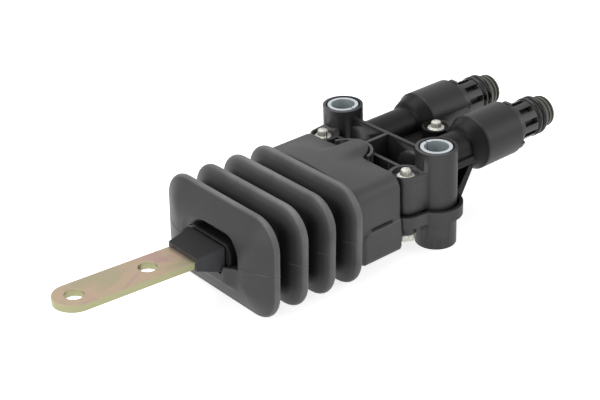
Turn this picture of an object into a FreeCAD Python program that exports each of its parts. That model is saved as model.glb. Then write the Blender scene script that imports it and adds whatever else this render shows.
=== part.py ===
import FreeCAD, Part
import math
import os

# Cab suspension valve: a plastic two-part housing with a rubber bellows and a steel lever.
# Millimetres. X runs from the lever (minus) to the air ports (plus), Y across, Z up.
# The origin lies midway between the two mounting bores, on the mounting plane.

Vec = FreeCAD.Vector

# Mounting bosses and their rolled steel bushes
boss_spacing = 50.0
boss_r = 7.6
boss_height = 38.0
bush_wall = 1.3
bush_bore_r = 4.5
bush_slit = 0.5
bush_r = bush_bore_r + bush_wall
bush_clearance = 0.25

# How far a cutting shape runs past the face that it opens
overrun = 1.0

# Housing levels
split_z = 16.3
gasket_thick = 0.6
base_z = 7.6
rim_z = boss_height - 3.4
wall_top_z = rim_z - 3.6
pocket_floor_z = 20.0
wall = 1.6
rib = 1.4
collar_wall = 1.4
collar_gap = 0.8
collar_height = 4.6
boss_split_z = split_z - collar_height + wall

# Housing plan
body_back_x = rib / 2
body_front_x = -22.0
body_half_y = 22.0
nose_front_x = -36.0
nose_half_y = 23.8
nose_bottom_z = 6.6
nose_side_z = 30.9
nose_top_z = 32.5
nose_corner_r = 5.0

# Housing screws, with an outside drive and a flange, and their nuts
screw_x = -12.5
screw_y = 22.4
tail_screw_x = 24.7
screw_r = 2.0
screw_hole_clearance = 0.2
screw_head_r = 2.3
screw_head_height = 3.4
screw_flange_r = 4.1
screw_flange_thick = 1.0
screw_seat_z = 30.0
tail_seat_z = 28.0
screw_pocket_clearance = 0.8
nut_height = 2.6
screw_tip = 0.4
column_r = 4.7
column_web_y = 28.7

# Air tubes and port bodies
port_y = 14.25
port_z = 26.0
tube_r = 6.7
tube_bore_r = 4.0
tube_start_x = -2.5
port_x = 28.0
port_r = 10.5
port_length = 18.5
port_chamfer = 0.4
port_socket_r = 7.2
port_socket_depth = 13.0
flare_length = 5.8
flare_rise = 3.4
flare_step = 1.0
flare_step_rise = 1.5

# Web that joins the tubes and carries the tail screw
web_half_y = 21.8
web_top_z = 25.0
web_thick = 2.8
web_root = 3.5
tail_boss_r = 5.4
tail_boss_wall = 1.0
tail_boss_rise = 1.2

# Sloping end wall of the lower housing
ramp_foot_x = 17.5
ramp_top_x = 26.0
ramp_thick = 2.4
ramp_half_y = 20.0
tail_tab_half_y = 7.2
tail_tab_half_x = 4.2
tail_tab_thick = 2.4
tube_clearance = 0.2

# Lever pivot and valve
valve_x = -20.3
lever_arm = 8.0
pivot_x = valve_x - lever_arm
pivot_z = split_z
lever_tilt = 3.3
pin_r = 2.5
pin_half_y = 18.0
running_clearance = 0.05
cavity_half_y = 10.5
cavity_floor_z = 9.2
cavity_top_z = 23.0
cavity_back_x = -15.6
tower_r = 9.5
tower_ring_wall = 1.1

# Valve cartridge
sleeve_r = 6.6
spool_r = 4.0
sleeve_top_z = 31.3
cap_thick = 0.9
cap_r = 7.6
spool_top_z = 28.8
spool_neck_r = 3.0
spool_neck = 1.0
seal_count = 2
seal_wire_r = 0.55
seal_pitch = 2.4
seal_groove_clearance = 0.1
first_seal_drop = 1.0
yoke_half_height = 4.5
yoke_front = 1.9
yoke_back = 4.0
yoke_half_y = 4.5
finger_r = 1.6
finger_clearance = 0.15
finger_half_y = 2.5
finger_web = 2.4
spring_pocket_r = 2.3
spring_pocket_depth = 3.5
spring_wire_r = 0.3
spring_wire_sides = 12
spring_turns = 4

# Rubber bellows, laid out forwards from its last lobe and centred on the lever's axis
boot_half_y = 30.3
boot_half_z = 19.0
boot_corner_r = 11.0
boot_tilt = 2.6
lobe_count = 4
lobe_pitch = 12.1
last_lobe_x = -41.2
rim_half = 1.5
rim_steps = 2
root_half = 4.4
valley_depth = 9.0
rubber = 1.8
least_round = 2.0
plate_reach = 5.9
plate_inset = 13.0
soft_clearance = 0.3
cuff_wall = 2.1
cuff_crown = 2.1
cuff_back_x = -18.4
cuff_half_y = nose_half_y + soft_clearance + cuff_wall
cuff_bottom_z = nose_bottom_z - soft_clearance - cuff_wall
cuff_side_z = nose_side_z + soft_clearance + cuff_wall
cuff_top_z = cuff_side_z + cuff_crown
cuff_corner_r = 5.5
cuff_edge_r = 0.9
tongue_x = -18.6
tongue_r = 6.5
tongue_top_z = cuff_top_z + 0.4
tongue_edge_r = 0.8
front_lobe_x = last_lobe_x - (lobe_count - 1) * lobe_pitch
front_face_x = front_lobe_x - plate_reach
recess_half_y = 15.8
recess_height = 10.7
recess_depth = 2.6
recess_draft = 1.6
recess_corner_r = 7.0
shelf_drop = 1.5
pedestal_reach = 2.2
pedestal_half_y = 11.0
pedestal_drop = 7.5
pedestal_flare = 3.5
pedestal_edge_r = 1.5

# Lever strip and its moulded carrier
strip_width = 14.6
strip_thick = 2.5
hole_r = 3.3
lever_reach = 108.2
tip_hole_x = pivot_x - lever_reach
hole_pitch = 28.2
strip_root_x = -36.0
hub_r = 4.8
hub_half_y = 9.0
neck_half_y = 9.0
neck_half_height = 3.6
block_front_x = front_face_x - 10.9
block_back_x = front_face_x - 0.6
block_front_half_y = 7.9
block_back_half_y = 9.8
block_front_up = 2.9
block_front_down = 2.0
block_back_up = 4.4
block_back_down = 5.0
rivet_r = 2.0
rivet_head_r = 3.4
rivet_head_height = 1.2
rivet_x = (-46.0, -64.0)

# Port connectors
collar_r = 8.6
collar_length = 3.9
lug_r = 10.0
lug_width = 3.0
lug_length = 1.5
lug_count = 3
finger_r_out = 7.3
finger_length = 8.0
finger_count = 9
finger_gap = 2.2
finger_turn = 6
shank_r = 6.0
waist_r = 5.0
spigot_flange_thick = 3.0
land_r = 6.9
oring_wire_r = 1.1
oring_pitch = 2.6
end_r = 6.2
end_length = 5.2
end_round = 1.2
round_steps = 3
end_groove = 0.7
end_groove_count = 2
spigot_bore_r = 3.6
oring_count = 2

sides = (-1, 1)
names = {-1: "near", 1: "far"}
hexagon_sides = 6
full_turn = 360


def box(x0, x1, y0, y1, z0, z1):
    return Part.makeBox(x1 - x0, y1 - y0, z1 - z0, Vec(x0, y0, z0))


def rod_x(x0, x1, y, z, r):
    return Part.makeCylinder(r, x1 - x0, Vec(x0, y, z), Vec(1, 0, 0))


def rod_y(x, z, half, r):
    return Part.makeCylinder(r, 2 * half, Vec(x, -half, z), Vec(0, 1, 0))


def rod_z(x, y, z0, z1, r):
    return Part.makeCylinder(r, z1 - z0, Vec(x, y, z0))


def fuse(shapes):
    return shapes[0].multiFuse(shapes[1:]).removeSplitter()


def revolve_x(points, y, z):
    # Each point is a station along X and a radius about the port axis.
    outline = Part.makePolygon([Vec(x, y, z + r) for x, r in points + points[:1]])
    return Part.Face(outline).revolve(Vec(0, y, z), Vec(1, 0, 0), full_turn)


def torus_x(x, y, z, centre_r, wire_r):
    return Part.makeTorus(centre_r, wire_r, Vec(x, y, z), Vec(1, 0, 0))


def crowned(x0, x1, half_y, low, side_z, top_z, corner):
    # A bar along X with round corners and a top that rises towards its middle.
    flat = half_y - corner
    slant = corner * math.sqrt(0.5)
    arcs = []
    for side in sides:
        for z, up in ((low + corner, -1), (side_z - corner, 1)):
            ends = [Vec(x0, side * half_y, z), Vec(x0, side * flat, z + up * corner)]
            middle = Vec(x0, side * (flat + slant), z + up * slant)
            arcs.append(Part.Arc(ends[0], middle, ends[1]).toShape())
        foot, head = Vec(x0, side * half_y, low + corner), Vec(x0, side * half_y, side_z - corner)
        arcs.append(Part.makeLine(foot, head))
    arcs.append(Part.makeLine(Vec(x0, -flat, low), Vec(x0, flat, low)))
    arcs.append(Part.Arc(Vec(x0, -flat, side_z), Vec(x0, 0, top_z), Vec(x0, flat, side_z)).toShape())
    outline = Part.Wire(Part.sortEdges(arcs)[0])
    return Part.Face(outline).extrude(Vec(x1 - x0, 0, 0))


def write(node, shape):
    shape.exportStep("parts/" + node + ".step")


# Plan of the body, grown outwards by a margin

def plan(margin, z0, z1):
    shapes = [box(body_front_x, body_back_x + margin, -body_half_y - margin, body_half_y + margin, z0, z1)]
    for side in sides:
        shapes.append(rod_z(screw_x, side * screw_y, z0, z1, column_r + margin))
        shapes.append(rod_z(0, side * boss_spacing / 2, z0, z1, boss_r + margin))
        outline = [(screw_x, 0), (screw_x, screw_y + column_r + margin), (0, column_web_y + margin), (0, 0)]
        wire = Part.makePolygon([Vec(x, side * y, z0) for x, y in outline + outline[:1]])
        shapes.append(Part.Face(wire).extrude(Vec(0, 0, z1 - z0)))
    return fuse(shapes)


def under_cuff():
    return box(body_front_x, cuff_back_x + soft_clearance, -boss_spacing, boss_spacing, 0, boss_height)


def nose(z0, z1):
    back_x = cuff_back_x + soft_clearance + rib
    block = crowned(nose_front_x, back_x, nose_half_y, nose_bottom_z, nose_side_z, nose_top_z, nose_corner_r)
    return block.common(box(nose_front_x, back_x, -nose_half_y, nose_half_y, z0, z1))


def lever_cavity():
    return box(nose_front_x - wall, cavity_back_x, -cavity_half_y, cavity_half_y, cavity_floor_z, cavity_top_z)


def pin_seat():
    return rod_y(pivot_x, pivot_z, pin_half_y, pin_r)


def screw_places():
    places = [(screw_x, side * screw_y, screw_seat_z, base_z) for side in sides]
    tab_z = web_top_z - web_thick - tail_tab_thick
    return places + [(tail_screw_x, 0, tail_seat_z, tab_z)]


def screw_holes():
    hole_radius = screw_r + screw_hole_clearance
    return [rod_z(x, y, low - overrun, seat + overrun, hole_radius) for x, y, seat, low in screw_places()]


def boss_bores():
    return [rod_z(0, side * boss_spacing / 2, 0, boss_height, bush_r + bush_clearance) for side in sides]


# Upper housing

def pockets():
    # Open moulding pockets between the ribs on both sides of the centre rib.
    cutters = []
    rib_x = cross_rib_x()
    for side in sides:
        low, high = sorted((side * rib / 2, side * (body_half_y - wall)))
        behind = box(rib_x + rib / 2, -rib / 2, low, high, pocket_floor_z, boss_height)
        ahead = box(body_front_x + wall, rib_x - rib / 2, low, high, pocket_floor_z, boss_height)
        for cutter in (behind, ahead):
            cutter = cutter.cut(rod_z(valve_x, 0, 0, boss_height, tower_r))
            cutter = cutter.cut(rod_z(screw_x, side * screw_y, 0, boss_height, screw_ring_r()))
            cutter = cutter.cut(rod_z(0, side * boss_spacing / 2, 0, boss_height, boss_r))
            cutter = cutter.cut(rod_x(tube_start_x, 0, side * port_y, port_z, tube_r))
            cutters.append(cutter)
    return cutters


def cross_rib_x():
    return screw_x - column_r + wall


def screw_ring_r():
    return screw_flange_r + screw_pocket_clearance + rib


def top_ribs():
    # Thin walls that stand above the side walls, up to the rim.
    rib_x = cross_rib_x()
    shapes = [box(-rib / 2, rib / 2, -boss_spacing / 2, boss_spacing / 2, pocket_floor_z, rim_z)]
    shapes.append(box(valve_x, 0, -rib / 2, rib / 2, pocket_floor_z, rim_z))
    for side in sides:
        low, high = sorted((side * (tower_r - tower_ring_wall), side * (screw_y - screw_ring_r() + rib)))
        shapes.append(box(rib_x - rib / 2, rib_x + rib / 2, low, high, pocket_floor_z, rim_z))
        ring = rod_z(screw_x, side * screw_y, screw_seat_z, screw_seat_z + screw_head_height, screw_ring_r())
        low, high = sorted((0, side * (body_half_y - wall / 2)))
        shapes.append(ring.common(box(cuff_back_x + soft_clearance, 0, low, high, 0, boss_height)))
    tower = rod_z(valve_x, 0, pocket_floor_z, rim_z, tower_r)
    shapes.append(tower.common(box(cuff_back_x + soft_clearance, 0, -tower_r, tower_r, 0, boss_height)))
    return shapes


def flare(gap):
    # The tube steps out and then widens in a cone up to the port body.
    x = port_x - flare_length
    r = tube_r + gap
    return [(x, r), (x + flare_step, r + flare_step_rise), (port_x, r + flare_rise)]


def port_body(side):
    end_x = port_x + port_length
    chamfer = port_chamfer
    profile = [(tube_start_x, 0), (tube_start_x, tube_r)] + flare(0)
    profile += [(port_x + chamfer, port_r), (end_x - chamfer, port_r), (end_x, port_r - chamfer), (end_x, 0)]
    return revolve_x(profile, side * port_y, port_z)


def tube_space(side):
    # Room in the lower housing for the tube, its flare and the port body.
    gap = tube_clearance
    end_x = port_x + port_r
    profile = [(rib, 0), (rib, tube_r + gap)] + flare(gap)
    profile += [(port_x, port_r + gap), (end_x, port_r + gap), (end_x, 0)]
    return revolve_x(profile, side * port_y, port_z)


def port_bores(side):
    end_x = port_x + port_length
    y = side * port_y
    bore = rod_x(rib, end_x, y, port_z, tube_bore_r)
    return bore.fuse(rod_x(end_x - port_socket_depth, end_x + overrun, y, port_z, port_socket_r))


def web():
    plate = box(0, port_x + web_root, -web_half_y, web_half_y, web_top_z - web_thick, web_top_z)
    boss = rod_z(tail_screw_x, 0, web_top_z - web_thick, tail_seat_z + tail_boss_rise, tail_boss_r)
    return plate.fuse(boss)


def upper_housing():
    skirt_z = split_z + gasket_thick / 2
    solid = [plan(0, skirt_z, wall_top_z).cut(under_cuff()), nose(skirt_z, nose_top_z)]
    solid += [rod_z(0, side * boss_spacing / 2, boss_split_z, boss_height, boss_r) for side in sides]
    shape = fuse(solid)
    for cutter in pockets():
        shape = shape.cut(cutter)
    shape = fuse([shape, web()] + top_ribs() + [port_body(side) for side in sides])
    pocket_r = screw_ring_r() - rib
    cuts = [rod_z(screw_x, side * screw_y, screw_seat_z, boss_height, pocket_r) for side in sides]
    cuts.append(rod_z(tail_screw_x, 0, tail_seat_z, boss_height, tail_boss_r - tail_boss_wall))
    cuts += screw_holes() + boss_bores() + [lever_cavity(), pin_seat()]
    cuts += [port_bores(side) for side in sides]
    cuts.append(rod_z(valve_x, 0, cavity_top_z - overrun, boss_height, sleeve_r))
    cuts.append(rod_z(valve_x, 0, sleeve_top_z, boss_height, tower_r - tower_ring_wall))
    return shape.cut(cuts)


# Lower housing, a tray with a lip round the upper part and two lower boss halves

def lower_housing():
    skirt_z = split_z - gasket_thick / 2
    lip = collar_gap + collar_wall
    tray = plan(lip, base_z, split_z).cut(plan(collar_gap, boss_split_z, split_z))
    tray = tray.cut(under_cuff())
    core = plan(-wall / 2, base_z, skirt_z)
    bosses = [rod_z(0, side * boss_spacing / 2, 0, boss_split_z, boss_r) for side in sides]
    shape = fuse([tray, core, nose(nose_bottom_z, skirt_z)] + bosses)
    for side in sides:
        y = side * boss_spacing / 2
        ring = rod_z(0, y, boss_split_z, split_z, boss_r + collar_gap)
        shape = shape.cut(ring)
        below = rod_z(0, y, base_z, split_z - collar_height, boss_r + lip)
        below = below.cut(rod_z(0, y, base_z, split_z, boss_r))
        outside = box(-boss_r, boss_r + lip, *sorted((y, y + side * (boss_r + lip))), base_z, split_z)
        shape = shape.cut(below.common(outside))
    shape = fuse([shape, ramp(), tail_tab()])
    cuts = screw_holes() + boss_bores() + [lever_cavity(), pin_seat(), tail_nut_space()]
    cuts += [tube_space(side) for side in sides]
    return shape.cut(cuts)


def ramp():
    # A sloping plate from the tray's back edge up to the underside of the web.
    top_z = web_top_z - web_thick
    run = ramp_top_x - ramp_foot_x
    rise = top_z - base_z
    shift = ramp_thick * math.hypot(run, rise) / rise
    points = [(ramp_foot_x, base_z), (ramp_top_x, top_z), (ramp_top_x - shift, top_z),
              (ramp_foot_x - shift, base_z + ramp_thick), (0, base_z + ramp_thick), (0, base_z)]
    wire = Part.makePolygon([Vec(x, -ramp_half_y, z) for x, z in points + points[:1]])
    return Part.Face(wire).extrude(Vec(0, 2 * ramp_half_y, 0))


def tail_tab():
    top_z = web_top_z - web_thick
    return box(tail_screw_x - tail_tab_half_x, tail_screw_x + tail_tab_half_x,
               -tail_tab_half_y, tail_tab_half_y, top_z - tail_tab_thick, top_z)


def tail_nut_space():
    tab_z = web_top_z - web_thick - tail_tab_thick
    return rod_z(tail_screw_x, 0, base_z, tab_z, screw_flange_r + screw_pocket_clearance)


def housing_gasket():
    low, high = split_z - gasket_thick / 2, split_z + gasket_thick / 2
    ahead = box(nose_front_x, cuff_back_x, -nose_half_y, nose_half_y, low, high)
    sheet = plan(-wall / 2, low, high).fuse(nose(low, high).common(ahead))
    opening = rod_y(pivot_x, pivot_z, pin_half_y, pin_r + gasket_thick)
    holes = [rod_z(0, side * boss_spacing / 2, low, high, boss_r + collar_gap) for side in sides]
    return sheet.cut(screw_holes() + holes + [lever_cavity(), opening])


# Fasteners and mounting bushes

def screw(x, y, seat, low):
    tip_z = low - nut_height - screw_tip
    shank = rod_z(x, y, tip_z, seat, screw_r)
    flange = Part.makeCone(screw_flange_r, screw_head_r, screw_flange_thick, Vec(x, y, seat))
    head = rod_z(x, y, seat, seat + screw_head_height, screw_head_r)
    return fuse([shank, flange, head])


def housing_screws():
    return Part.makeCompound([screw(*place) for place in screw_places()])


def nut(x, y, low):
    corners = []
    for i in range(hexagon_sides + 1):
        turn = 2 * math.pi * i / hexagon_sides
        corner = Vec(screw_flange_r * math.cos(turn), screw_flange_r * math.sin(turn), -nut_height)
        corners.append(Vec(x, y, low) + corner)
    hexagon = Part.Face(Part.makePolygon(corners)).extrude(Vec(0, 0, nut_height))
    return hexagon.cut(rod_z(x, y, low - nut_height, low, screw_r + running_clearance))


def housing_nuts():
    return Part.makeCompound([nut(x, y, low) for x, y, seat, low in screw_places()])


def mounting_bush(side):
    # The seam of the rolled sleeve faces the middle of the valve.
    y = side * boss_spacing / 2
    tube = rod_z(0, y, 0, boss_height, bush_r).cut(rod_z(0, y, 0, boss_height, bush_bore_r))
    return tube.cut(box(-bush_slit / 2, bush_slit / 2, *sorted((0, y)), 0, boss_height))


# Valve cartridge

def yoke_z():
    return pivot_z - lever_arm * math.sin(math.radians(lever_tilt))


def seal_heights():
    top = spool_top_z - first_seal_drop
    return [top - i * seal_pitch for i in range(seal_count)]


def valve_sleeve():
    return rod_z(valve_x, 0, cavity_top_z, sleeve_top_z, sleeve_r).cut(
        rod_z(valve_x, 0, cavity_top_z, sleeve_top_z, spool_r + running_clearance))


def valve_spool():
    z = yoke_z()
    neck_z = z + yoke_half_height
    neck = rod_z(valve_x, 0, neck_z, spool_top_z, spool_neck_r)
    stem = rod_z(valve_x, 0, neck_z + spool_neck, spool_top_z, spool_r)
    yoke = box(valve_x - yoke_front, valve_x + yoke_back, -yoke_half_y, yoke_half_y,
               z - yoke_half_height, z + yoke_half_height)
    shape = fuse([stem, neck, yoke])
    half_slot = finger_r + finger_clearance
    slot = box(valve_x - yoke_back, valve_x + half_slot + finger_clearance, -yoke_half_y, yoke_half_y,
               z - half_slot, z + half_slot)
    pocket = rod_z(valve_x, 0, spool_top_z - spring_pocket_depth, spool_top_z, spring_pocket_r)
    shape = shape.cut([slot, pocket])
    half_groove = seal_wire_r + seal_groove_clearance
    groove_r = spool_r - 2 * seal_wire_r
    for height in seal_heights():
        low, high = height - half_groove, height + half_groove
        ring = rod_z(valve_x, 0, low, high, spool_r + overrun).cut(rod_z(valve_x, 0, low, high, groove_r))
        shape = shape.cut(ring)
    return shape


def spool_seals():
    centre_r = spool_r - seal_wire_r
    rings = [Part.makeTorus(centre_r, seal_wire_r, Vec(valve_x, 0, z)) for z in seal_heights()]
    return Part.makeCompound(rings)


def valve_spring():
    foot_z = spool_top_z - spring_pocket_depth
    length = sleeve_top_z - foot_z - 2 * spring_wire_r
    pitch = length / spring_turns
    centre_r = spring_pocket_r - seal_groove_clearance - spring_wire_r
    corners = []
    for i in range(spring_wire_sides):
        turn = 2 * math.pi * i / spring_wire_sides
        corners.append(Vec(centre_r + spring_wire_r * math.cos(turn), 0, spring_wire_r * math.sin(turn)))
    profile = Part.makePolygon(corners + corners[:1])
    helix = Part.makeHelix(pitch, length, centre_r)
    coil = Part.Wire(helix).makePipeShell([profile], True, True)
    coil.translate(Vec(valve_x, 0, foot_z + spring_wire_r))
    return coil


def valve_cap():
    return rod_z(valve_x, 0, sleeve_top_z, sleeve_top_z + cap_thick, cap_r)


def pivot_pin():
    return rod_y(pivot_x, pivot_z, pin_half_y, pin_r)


# Lever, drawn level and then tilted about the pivot

def tilt(shape, angle=lever_tilt):
    shape.rotate(Vec(pivot_x, 0, pivot_z), Vec(0, 1, 0), angle)
    return shape


def strip_blank():
    half = strip_width / 2
    low = pivot_z - strip_thick / 2
    bar = box(tip_hole_x, strip_root_x, -half, half, low, low + strip_thick)
    return bar.fuse(rod_z(tip_hole_x, 0, low, low + strip_thick, half)).removeSplitter()


def rivet_holes():
    return [rod_z(x, 0, pivot_z - strip_width, pivot_z + strip_width, rivet_r) for x in rivet_x]


def lever_strip():
    shape = strip_blank()
    holes = [rod_z(tip_hole_x + i * hole_pitch, 0, 0, boss_height, hole_r) for i in range(2)]
    return tilt(shape.cut(holes + rivet_holes()))


def section(x, half_y, down, up):
    corners = [(-half_y, -down), (half_y, -down), (half_y, up), (-half_y, up)]
    points = [Vec(x, y, pivot_z + z) for y, z in corners + corners[:1]]
    return Part.makePolygon(points)


def lever_carrier():
    neck = box(block_back_x, pivot_x, -neck_half_y, neck_half_y,
               pivot_z - neck_half_height, pivot_z + neck_half_height)
    hub = rod_y(pivot_x, pivot_z, hub_half_y, hub_r)
    finger_x = pivot_x + lever_arm
    web_plate = box(pivot_x, finger_x, -finger_half_y, finger_half_y,
                    pivot_z - finger_web / 2, pivot_z + finger_web / 2)
    tip = rod_y(finger_x, pivot_z, finger_half_y, finger_r)
    shape = fuse([block_shape(0), neck, hub, web_plate, tip])
    cuts = [rod_y(pivot_x, pivot_z, hub_half_y, pin_r + running_clearance), strip_blank()]
    return tilt(shape.cut(cuts + rivet_holes()))


def lever_rivets():
    rivets = []
    for x in rivet_x:
        low = pivot_z - neck_half_height
        high = pivot_z + neck_half_height
        shank = rod_z(x, 0, low, high, rivet_r)
        heads = [rod_z(x, 0, low - rivet_head_height, low, rivet_head_r),
                 rod_z(x, 0, high, high + rivet_head_height, rivet_head_r)]
        rivets.append(tilt(fuse([shank] + heads)))
    return Part.makeCompound(rivets)


# Rubber bellows

def rounded_section(x, half_y, half_z, corner):
    # A rounded rectangle across X, centred on the lever's axis.
    flat_y = half_y - corner
    flat_z = half_z - corner
    slant = corner * math.sqrt(0.5)
    edges = []
    for y, z in ((1, 1), (-1, 1), (-1, -1), (1, -1)):
        centre = Vec(x, y * flat_y, pivot_z + z * flat_z)
        first, last = Vec(0, y * corner, 0), Vec(0, 0, z * corner)
        if y != z:
            first, last = last, first
        middle = centre + Vec(0, y * slant, z * slant)
        if edges:
            edges.append(Part.makeLine(edges[-1].Vertexes[-1].Point, centre + first))
        edges.append(Part.Arc(centre + first, middle, centre + last).toShape())
    edges.append(Part.makeLine(edges[-1].Vertexes[-1].Point, edges[0].Vertexes[0].Point))
    return Part.Wire(edges)


def boot_section(x, inset):
    corner = max(boot_corner_r - inset, least_round)
    return rounded_section(x, boot_half_y - inset, boot_half_z - inset, corner)


def lobe_centres():
    return [front_lobe_x + i * lobe_pitch for i in range(lobe_count)]


def lobe_stations(x, rim, root, crest, steps):
    # Stations along X with their insets: up the lobe's front, round its rim and down its back.
    foot = crest + valley_depth
    stations = [(x - root, foot)]
    for i in range(-steps, steps + 1):
        turn = math.pi / 2 * i / steps
        stations.append((x + rim * math.sin(turn), crest + rim * (1 - math.cos(turn))))
    return stations + [(x + root, foot)]


def bellows_outer():
    stations = [(front_face_x, plate_inset), (front_face_x + plate_reach / 4, plate_inset * 2 / 3)]
    for x in lobe_centres():
        lobe = lobe_stations(x, rim_half, root_half, 0, rim_steps)
        stations += lobe[1:] if x == front_lobe_x else lobe
    return Part.makeLoft([boot_section(x, inset) for x, inset in stations], True, True)


def bellows_inner():
    stations = [(front_face_x + rubber + recess_depth, plate_inset)]
    for x in lobe_centres():
        lobe = lobe_stations(x, rim_half / 2, root_half - rubber, rubber, 1)
        stations += lobe[1:] if x == front_lobe_x else lobe
    stations.append((cuff_hollow_x() + overrun, rubber + valley_depth))
    return Part.makeLoft([boot_section(x, inset) for x, inset in stations], True, True)


def cuff_hollow_x():
    return nose_front_x - soft_clearance


def cuff():
    block = crowned(last_lobe_x, cuff_back_x, cuff_half_y, cuff_bottom_z,
                    cuff_side_z, cuff_top_z, cuff_corner_r)
    rear = [edge for edge in block.Edges if edge.BoundBox.XMin > cuff_back_x - cuff_edge_r]
    return block.makeFillet(cuff_edge_r, rear)


def tongue():
    # A pad over the valve tower that carries on the crown of the cuff.
    low = nose_top_z + soft_clearance
    tip_x = tongue_x + tongue_r
    bar = crowned(last_lobe_x, tip_x, cuff_half_y, cuff_bottom_z, cuff_side_z, tongue_top_z, cuff_corner_r)
    outline = rod_z(tongue_x, 0, low, boss_height, tongue_r)
    outline = outline.fuse(box(last_lobe_x, tongue_x, -tongue_r, tongue_r, low, boss_height))
    pad = bar.common(outline.removeSplitter())
    rim = [edge for edge in pad.Edges if edge.BoundBox.ZMin > cuff_side_z and edge.BoundBox.XMax > tongue_x]
    return pad.makeFillet(tongue_edge_r, rim)


def pedestal():
    # The swelling under the lever block, with a flat shelf for its top.
    foot = section(front_face_x + pedestal_edge_r, pedestal_half_y + pedestal_flare,
                   pedestal_drop + pedestal_flare, -shelf_drop)
    face = section(front_face_x - pedestal_reach, pedestal_half_y, pedestal_drop, -shelf_drop)
    block = Part.makeLoft([foot, face], True, True)
    shelf_z = split_z - shelf_drop
    edges = [edge for edge in block.Edges
             if edge.BoundBox.ZMin < shelf_z - pedestal_edge_r and edge.BoundBox.XMin < front_face_x]
    return block.makeFillet(pedestal_edge_r, edges)


def front_recess():
    # A round-topped pocket above the shelf, with the lever block in its middle.
    mouth = rounded_section(front_face_x - overrun, recess_half_y, recess_height, recess_corner_r)
    floor = rounded_section(front_face_x + recess_depth, recess_half_y - recess_draft,
                            recess_height - recess_draft, recess_corner_r - recess_draft)
    pocket = Part.makeLoft([mouth, floor], True, True)
    return pocket.common(box(front_face_x - overrun, front_lobe_x, -boot_half_y, boot_half_y,
                             split_z - shelf_drop, split_z + boot_half_z))


def block_shape(gap):
    front = section(block_front_x, block_front_half_y + gap, block_front_down + gap, block_front_up + gap)
    back = section(block_back_x + gap, block_back_half_y + gap, block_back_down + gap, block_back_up + gap)
    return Part.makeLoft([front, back], True, True)


def boot_mouth():
    gap = soft_clearance
    neck = box(block_back_x, pivot_x, -neck_half_y - gap, neck_half_y + gap,
               pivot_z - neck_half_height - gap, pivot_z + neck_half_height + gap)
    return tilt(fuse([block_shape(gap), neck]))


def boot():
    gap = soft_clearance
    bellows = fuse([bellows_outer(), pedestal()]).cut(front_recess())
    outside = fuse([tilt(bellows, boot_tilt), cuff(), tongue()])
    cuff_hollow = crowned(cuff_hollow_x(), cuff_back_x + overrun, nose_half_y + gap, nose_bottom_z - gap,
                          nose_side_z + gap, nose_top_z + gap, nose_corner_r + gap)
    return outside.cut([tilt(bellows_inner(), boot_tilt), cuff_hollow, boot_mouth()])


# Port connectors

def crown_start_x():
    return port_x + port_length


def collar_end_x():
    return crown_start_x() + collar_length


def crown_end_x():
    return collar_end_x() + finger_length


def port_crown(side):
    # A collar with lugs, and loose fingers that reach up to the first seal.
    y = side * port_y
    x0 = crown_start_x()
    x1 = collar_end_x()
    x2 = crown_end_x()
    inner = shank_r + running_clearance
    low_r = collar_r - collar_gap
    profile = [(x0, inner), (x0, low_r), (x0 + collar_gap, low_r), (x0 + collar_gap, collar_r),
               (x1 - collar_gap, collar_r), (x1, low_r), (x1, finger_r_out), (x2, finger_r_out), (x2, inner)]
    shape = revolve_x(profile, y, port_z)
    slots = []
    for i in range(finger_count):
        slot = box(x1 + collar_gap, x2 + overrun, y - finger_gap / 2, y + finger_gap / 2,
                   port_z + waist_r, port_z + port_r)
        slot.rotate(Vec(0, y, port_z), Vec(1, 0, 0), full_turn * i / finger_count - finger_turn)
        slots.append(slot)
    lugs = []
    for i in range(lug_count):
        lug = box(x0 + collar_gap, x0 + collar_gap + lug_length, y - lug_width / 2, y + lug_width / 2,
                  port_z + shank_r + collar_gap, port_z + lug_r)
        lug.rotate(Vec(0, y, port_z), Vec(1, 0, 0), full_turn * i / lug_count)
        lugs.append(lug)
    return fuse([shape.cut(slots)] + lugs)


def oring_stations():
    start = crown_end_x() + oring_wire_r + collar_gap / 2
    return [start + i * oring_pitch for i in range(oring_count)]


def land_end_x():
    return oring_stations()[-1] + oring_wire_r + collar_gap / 2


def port_spigot(side):
    y = side * port_y
    socket_x = crown_start_x() - port_socket_depth
    flange_x = socket_x + spigot_flange_thick
    end_x = land_end_x() + end_length
    flange_r = port_socket_r - running_clearance
    profile = [(socket_x, spigot_bore_r), (socket_x, flange_r), (flange_x, flange_r), (flange_x, shank_r),
               (collar_end_x(), shank_r), (collar_end_x(), waist_r), (crown_end_x(), waist_r),
               (crown_end_x(), land_r), (land_end_x(), land_r), (land_end_x(), end_r)]
    for i in range(round_steps + 1):
        turn = math.pi / 2 * i / round_steps
        profile.append((end_x - end_round * (1 - math.sin(turn)), end_r - end_round * (1 - math.cos(turn))))
    profile.append((end_x, spigot_bore_r))
    shape = revolve_x(profile, y, port_z)
    grooves = [oring_groove(x, y) for x in oring_stations()]
    pitch = end_length / (end_groove_count + 1)
    for i in range(end_groove_count):
        x = land_end_x() + pitch * (i + 1)
        ring = rod_x(x - end_groove / 2, x + end_groove / 2, y, port_z, end_r + overrun)
        grooves.append(ring.cut(rod_x(x - end_groove / 2, x + end_groove / 2, y, port_z, end_r - end_groove)))
    return shape.cut(grooves)


def oring_centre_r():
    return land_r - oring_wire_r + collar_gap


def oring_groove(x, y):
    half = oring_wire_r + running_clearance
    ring = rod_x(x - half, x + half, y, port_z, land_r + overrun)
    return ring.cut(rod_x(x - half, x + half, y, port_z, oring_centre_r() - oring_wire_r - running_clearance))


def port_seals():
    rings = []
    for side in sides:
        for x in oring_stations():
            rings.append(torus_x(x, side * port_y, port_z, oring_centre_r(), oring_wire_r))
    return Part.makeCompound(rings)


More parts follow.
